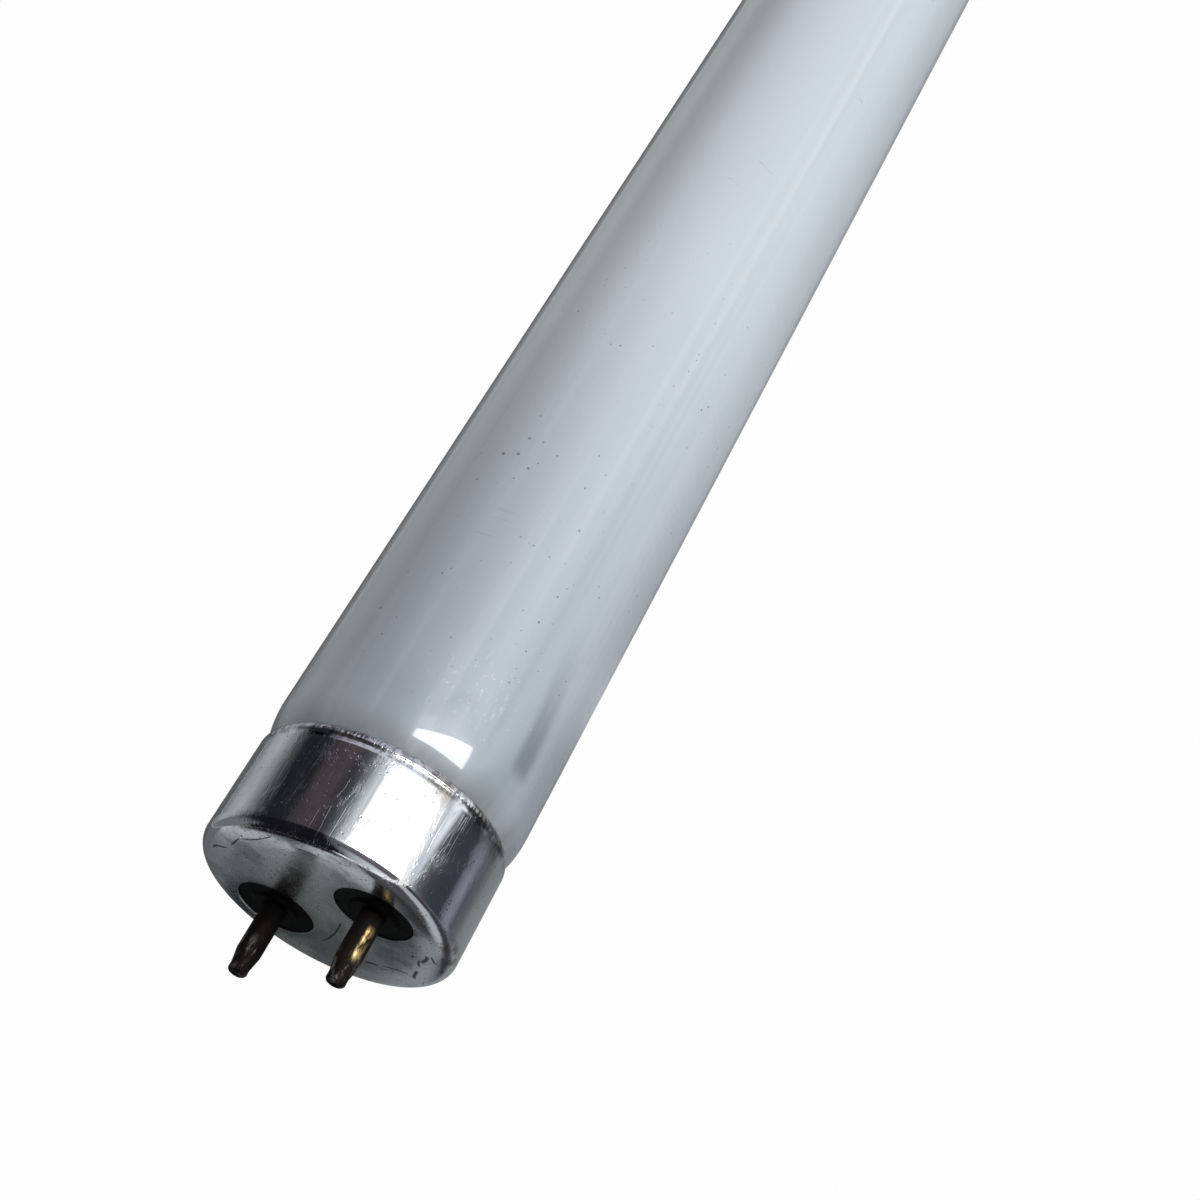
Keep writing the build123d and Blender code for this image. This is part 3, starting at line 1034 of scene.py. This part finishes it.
class FLUORESCENT_OT_stage(Operator):
    """Set up the floor, the window light, the cards that the metal reflects, the world and the camera"""

    bl_idname = "fluorescent_tube.stage"
    bl_label = "Stage"

    def execute(self, context):
        settings = context.scene.stage_settings
        self.world(context.scene, settings)
        self.floor(settings)
        window = self.window(settings)
        fill_size = (settings.fill_length, settings.fill_height)
        self.area_light("fill", settings.fill_turn, fill_size, settings.fill_power)
        self.bright_card(window)
        self.room_card()
        self.ground_card()
        self.camera(context.scene, settings)
        context.scene.view_settings.view_transform = "Standard"
        return {"FINISHED"}

    @staticmethod
    def seen_share(shader):
        """1 for rays from the camera or by way of metal or glass, which see the plain background."""
        path = shader.add("ShaderNodeLightPath")
        seen = path["Is Camera Ray"].largest(path["Is Glossy Ray"])
        return seen.largest(path["Is Transmission Ray"])

    def world(self, scene, settings):
        """Soft light from all round, behind a plain white background."""
        scene.world = bpy.data.worlds.new("plain_studio")
        shader = Shader(scene.world)
        soft = shader.add("ShaderNodeBackground", {}, {"Color": WHITE, "Strength": settings.ambient})[0]
        white = shader.add("ShaderNodeBackground", {}, {"Color": WHITE, "Strength": 1.0})[0]
        shader.finish(shader.mix(self.seen_share(shader), soft, white))

    def floor(self, settings):
        """A pale floor under the lamp, white to the camera apart from the lamp's faint shadow."""
        shader = new_shader("floor")
        matt = shader.add("ShaderNodeBsdfDiffuse", {}, {"Color": settings.floor})[0]
        share = self.seen_share(shader) * 0.97
        material = shader.finish(shader.mix(share, matt, shader.light(WHITE)))
        half = 4.0
        floor = flat_sheet("floor", material, (-half, -half), (half, half))
        floor.location.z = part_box("glass_tube")[0][2]

    @staticmethod
    def area_light(name, turn, size, power):
        """A soft light at 1 m from the lamp's axis, turned round the lamp from +Y over the top."""
        data = bpy.data.lights.new(name, "AREA")
        data.shape = "RECTANGLE"
        data.size, data.size_y = size
        data.energy = power
        data.color = bpy.context.scene.stage_settings.daylight
        light = bpy.data.objects.new(name, data)
        bpy.context.scene.collection.objects.link(light)
        towards = Vector((0, math.cos(turn), math.sin(turn)))
        right = Vector((1, 0, 0))
        up = towards.cross(right)
        rotation = Matrix((right, up, towards)).transposed().to_4x4()
        light.matrix_world = Matrix.Translation(towards) @ rotation
        light.visible_camera = False
        light.visible_glossy = False
        return light

    def window(self, settings):
        """The one strong light: a tall window low on the camera's side, parallel to the lamp."""
        size = (settings.window_length, settings.window_height)
        window = self.area_light("window", settings.window_turn, size, settings.window_power)
        up = window.matrix_world.col[1].to_3d()
        window.location += Vector((settings.window_shift, 0, 0)) - settings.window_drop * up
        return window

    def bright_card(self, window):
        """The window as the metal and the glass show it: bright sky beside a slope, with dim edges."""
        shader = new_shader("bright_card")
        x, y, _ = shader.parts()
        slope = 0.36
        sky = (0.045 - y * slope - x + window.location.x).fade(0.0, 0.015)
        inner = 1 - abs(y).fade(0.40, 0.46)
        edge = abs(y).fade(0.44, 0.52).largest(x.fade(0.225, 0.265))
        strength = (1.7 + sky * inner * 7.5) * (1 - edge * 0.8)
        pale = (0.97, 0.99, 1.0)
        material = shader.finish(shader.light(shader.scaled(pale, strength)))
        corner = (window.data.size / 2, window.data.size_y / 2)
        card = flat_sheet("bright_card", material, (-corner[0], -corner[1]), corner)
        card.matrix_world = window.matrix_world
        self.reflected_only(card)

    @staticmethod
    def reflected_only(card):
        """Keeps a card out of everything but reflections."""
        card.visible_camera = False
        card.visible_diffuse = False
        card.visible_transmission = False
        card.visible_volume_scatter = False
        card.visible_shadow = False

    def room_card(self):
        """What the metal shows above the floor: a bent card with the room's dark and pale strips."""
        radius = 1.6
        half_width = 12.0
        steps = 60
        shader = new_shader("room_card")
        x, y, z = shader.parts()
        around = shader.add("ShaderNodeMath", {"operation": "ARCTAN2"}, {0: z, 1: y})["Value"]
        degrees = around * (180 / math.pi)
        ahead = (x + half_length()) / -radius
        purplish = around.fade(2.0, 2.2) * (1 - ahead.fade(0.6, 0.9))
        before = shader.blend(purplish, shader.strips(degrees, ROOM_BEFORE_FACE), (0.13, 0.12, 0.14))
        dark = ahead.fade(0.75, 0.95) * (1 - around.fade(1.9, 2.1))
        before = shader.blend(dark, before, NEAR_BLACK)
        pale = around.fade(1.9, 2.5) * (1 - x.fade(0.85, 1.2))
        beside_glass = shader.blend(pale, shader.strips(degrees, ROOM_BESIDE_GLASS), (0.95, 1.0, 1.05))
        beside_cap = shader.strips(degrees, ROOM_BESIDE_CAP)
        level = shader.blend(x.fade(0.54, 0.62), beside_cap, beside_glass)
        level = shader.blend(ahead.fade(0.0, 0.12), level, before)
        material = shader.finish(shader.light(level))
        mesh = bmesh.new()
        rows = []
        for step in range(steps + 1):
            turn = math.pi * step / steps
            across = radius * math.cos(turn)
            height = radius * math.sin(turn)
            rows.append([mesh.verts.new((end, across, height)) for end in (-half_width, half_width)])
        for row, following in zip(rows, rows[1:]):
            mesh.faces.new([row[0], row[1], following[1], following[0]])
        self.reflected_only(plain_object(mesh, "room_card", material))

    def ground_card(self):
        """What the metal shows below the horizon: the ground on both sides of the lamp and before it."""
        above_floor = 0.2 * MM
        near_corner = (-4, -0.14)
        far_corner = (4, 1.6)
        far_ground = (0.11, 0.115, 0.12)
        shader = new_shader("ground_card")
        x, y, _ = shader.parts()
        level = shader.blend(y.fade(-0.004, 0.03), self.near_ground(shader, x, y), far_ground)
        away = (y**2 + bpy.context.scene.glass_sizes.radius ** 2) ** 0.5
        ahead = (x + half_length()) / away * -1
        level = shader.blend(ahead.fade(0.0, 0.05), level, self.ground_before(shader, ahead, y))
        material = shader.finish(shader.light(level))
        card = flat_sheet("ground_card", material, near_corner, far_corner)
        card.location.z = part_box("glass_tube")[0][2] + above_floor
        self.reflected_only(card)

    @staticmethod
    def near_ground(shader, x, y):
        """The ground under the lamp and on the camera's side, where the cap shows more of it."""
        aside = abs(y)
        by_cap = shader.blend(x.fade(-0.268, -0.248), (0.62, 0.66, 0.70), (0.30, 0.32, 0.34))
        pale = aside.fade(0.014, 0.03) * (1 - x.fade(-0.245, -0.215) * 0.6)
        low_sky = shader.blend(aside.fade(0.07, 0.10), (1.0, 1.05, 1.1), (0.62, 0.67, 0.73))
        by_cap = shader.blend(pale, by_cap, low_sky)
        share = x.fade(-0.270, -0.258) * (1 - y.fade(-0.002, 0.006))
        return shader.blend(share, shader.strips(aside, GROUND_BESIDE), by_cap)

    @staticmethod
    def ground_before(shader, ahead, y):
        """The ground ahead of a cap, which its face shows."""
        flat = shader.strips(y, GROUND_FOR_FLAT)
        dark = ahead.fade(0.7, 0.85) * y.fade(0.026, 0.034)
        edge = shader.blend(dark, shader.strips(y, GROUND_FOR_EDGE), NEAR_BLACK)
        beyond = ahead + (y - 0.018).largest(0.0).smallest(0.01) * 12
        level = shader.blend(beyond.fade(0.56, 0.62), flat, edge)
        return shader.blend(y.fade(-0.005, -0.002), shader.strips(ahead, GROUND_AHEAD), level)

    @staticmethod
    def camera(scene, settings):
        """A camera at the photograph's viewing angle, placed from the face of cap a."""
        azimuth = settings.camera_azimuth
        elevation = settings.camera_elevation
        back = Vector(
            (
                math.sin(azimuth) * math.cos(elevation),
                -math.cos(azimuth) * math.cos(elevation),
                math.sin(elevation),
            )
        )
        right = (-back).cross(Vector((0, 0, 1))).normalized()
        up = right.cross(-back)
        roll = settings.camera_roll
        turned_right = math.cos(roll) * right + math.sin(roll) * up
        turned_up = math.cos(roll) * up - math.sin(roll) * right
        rotation = Matrix((turned_right, turned_up, back)).transposed().to_4x4()
        face = Vector((-half_length(), 0, 0))
        data = bpy.data.cameras.new("camera")
        data.lens = settings.camera_lens
        data.sensor_width = 36
        data.clip_start = 0.005
        camera = bpy.data.objects.new("camera", data)
        camera.matrix_world = Matrix.Translation(face + Vector(settings.camera_place)) @ rotation
        scene.collection.objects.link(camera)
        scene.camera = camera


class FLUORESCENT_PT_panel(Panel):
    """Lists the pieces of the lamp, its sizes and its colours"""

    bl_idname = "FLUORESCENT_PT_panel"
    bl_label = "Fluorescent tube"
    bl_space_type = "VIEW_3D"
    bl_region_type = "UI"
    bl_category = "Fluorescent tube"

    def draw(self, context):
        column = self.layout.column()
        for operator in OPERATORS:
            column.operator(operator.bl_idname)
        for group in SETTINGS:
            box = self.layout.box()
            settings = getattr(context.scene, group)
            for name in settings.bl_rna.properties.keys():
                if name not in ("rna_type", "name"):
                    box.prop(settings, name)


SETTINGS = {
    "glass_sizes": GlassSizes,
    "cap_sizes": CapSizes,
    "pin_sizes": PinSizes,
    "lamp_colours": LampColours,
    "stage_settings": StageSettings,
}
OPERATORS = [
    FLUORESCENT_OT_glass,
    FLUORESCENT_OT_caps,
    FLUORESCENT_OT_pins,
    FLUORESCENT_OT_inner_parts,
    FLUORESCENT_OT_stage,
]
CLASSES = [*SETTINGS.values(), *OPERATORS, FLUORESCENT_PT_panel]


def register():
    for item in CLASSES:
        bpy.utils.register_class(item)
    for name, group in SETTINGS.items():
        setattr(bpy.types.Scene, name, PointerProperty(type=group))


def unregister():
    for name in SETTINGS:
        delattr(bpy.types.Scene, name)
    for item in reversed(CLASSES):
        bpy.utils.unregister_class(item)


def main():
    register()
    bpy.ops.fluorescent_tube.stage()
    bpy.ops.fluorescent_tube.glass()
    bpy.ops.fluorescent_tube.caps()
    bpy.ops.fluorescent_tube.pins()
    bpy.ops.fluorescent_tube.inner_parts()


if __name__ == "__main__":
    main()
